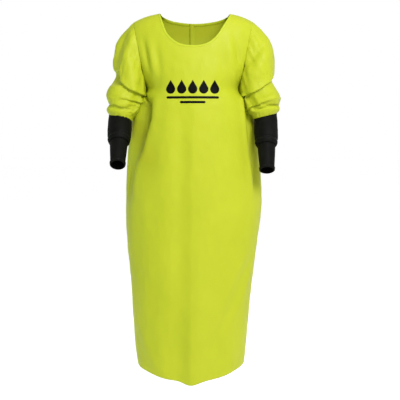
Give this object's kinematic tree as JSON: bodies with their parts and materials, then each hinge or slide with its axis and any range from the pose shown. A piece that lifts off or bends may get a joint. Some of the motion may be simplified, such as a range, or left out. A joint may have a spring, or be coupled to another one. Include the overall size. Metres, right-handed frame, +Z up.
{
  "type": "waterproof sleeved work apron",
  "caption": "Full-length waterproof work apron with gathered elbow sleeves, black forearm cuffs and a tabbed open back, shaped as worn.",
  "frame": {"origin": "middle of the neck opening at the height of the tops of the shoulders", "axes": "+Z up, -Y the front of the apron, +X the wearer's left"},
  "size_m": [0.602, 0.2776, 1.2622],
  "materials": {
    "yellow_fabric": "satin coated nylon, plain weave",
    "binding_tape": "satin coated binding",
    "seam_tape": "smooth sealing tape",
    "black_neoprene": "matt neoprene",
    "elastic": "ribbed elastic",
    "hook_and_loop": "fuzzy pile",
    "black_print": "matt transfer print"
  },
  "bodies": {
    "torso": {"front_panel": "yellow_fabric", "left_side_panel": "yellow_fabric", "right_side_panel": "yellow_fabric", "neck_binding": "binding_tape", "left_shoulder_tape": "seam_tape", "right_shoulder_tape": "seam_tape", "left_side_tape": "seam_tape", "right_side_tape": "seam_tape", "front_hem_tape": "seam_tape", "printed_emblem": "black_print"},
    "left_back": {"left_back_panel": "yellow_fabric", "left_back_binding": "binding_tape"},
    "right_back": {"right_back_panel": "yellow_fabric", "right_back_binding": "binding_tape", "neck_loop_patch": "hook_and_loop", "waist_loop_patch": "hook_and_loop"},
    "neck_closure": {"neck_tab": "yellow_fabric", "neck_hook_patch": "hook_and_loop"},
    "waist_closure": {"waist_tab": "yellow_fabric", "waist_hook_patch": "hook_and_loop"},
    "left_arm": {"left_sleeve": "yellow_fabric", "left_sleeve_elastic": "elastic"},
    "right_arm": {"right_sleeve": "yellow_fabric", "right_sleeve_elastic": "elastic"},
    "left_forearm": {"left_forearm_sleeve": "black_neoprene", "left_wrist_cuff": "black_neoprene", "left_cuff_band": "black_neoprene"},
    "right_forearm": {"right_forearm_sleeve": "black_neoprene", "right_wrist_cuff": "black_neoprene", "right_cuff_band": "black_neoprene"}
  },
  "joints": [
    {"name": "left_back_opening", "type": "hinge", "parent": "torso", "child": "left_back", "pos_m": [0.10925, 0.0928, -0.64], "axis": [0, 0, -1], "range_deg": [0, 90]},
    {"name": "right_back_opening", "type": "hinge", "parent": "torso", "child": "right_back", "pos_m": [-0.10925, 0.0928, -0.64], "axis": [0, 0, 1], "range_deg": [0, 90]},
    {"name": "neck_tab_peel", "type": "hinge", "parent": "left_back", "child": "neck_closure", "pos_m": [0.0243, 0.097, -0.062], "axis": [0, 0, -1], "range_deg": [0, 120]},
    {"name": "waist_tab_peel", "type": "hinge", "parent": "left_back", "child": "waist_closure", "pos_m": [0.0243, 0.0979, -0.447], "axis": [0, 0, -1], "range_deg": [0, 120]},
    {"name": "left_shoulder", "type": "hinge", "parent": "torso", "child": "left_arm", "pos_m": [0.206, 0, -0.022], "axis": [0, -1, 0], "range_deg": [0, 60]},
    {"name": "right_shoulder", "type": "hinge", "parent": "torso", "child": "right_arm", "pos_m": [-0.206, 0, -0.022], "axis": [0, 1, 0], "range_deg": [0, 60]},
    {"name": "left_elbow", "type": "hinge", "parent": "left_arm", "child": "left_forearm", "pos_m": [0.251, -0.0785, -0.354], "axis": [-1, 0, 0], "range_deg": [0, 60]},
    {"name": "right_elbow", "type": "hinge", "parent": "right_arm", "child": "right_forearm", "pos_m": [-0.251, -0.084, -0.354], "axis": [-1, 0, 0], "range_deg": [0, 50]}
  ],
  "couplings": [
    {"joint": "right_back_opening", "follows": "left_back_opening", "ratio": 1}
  ]
}
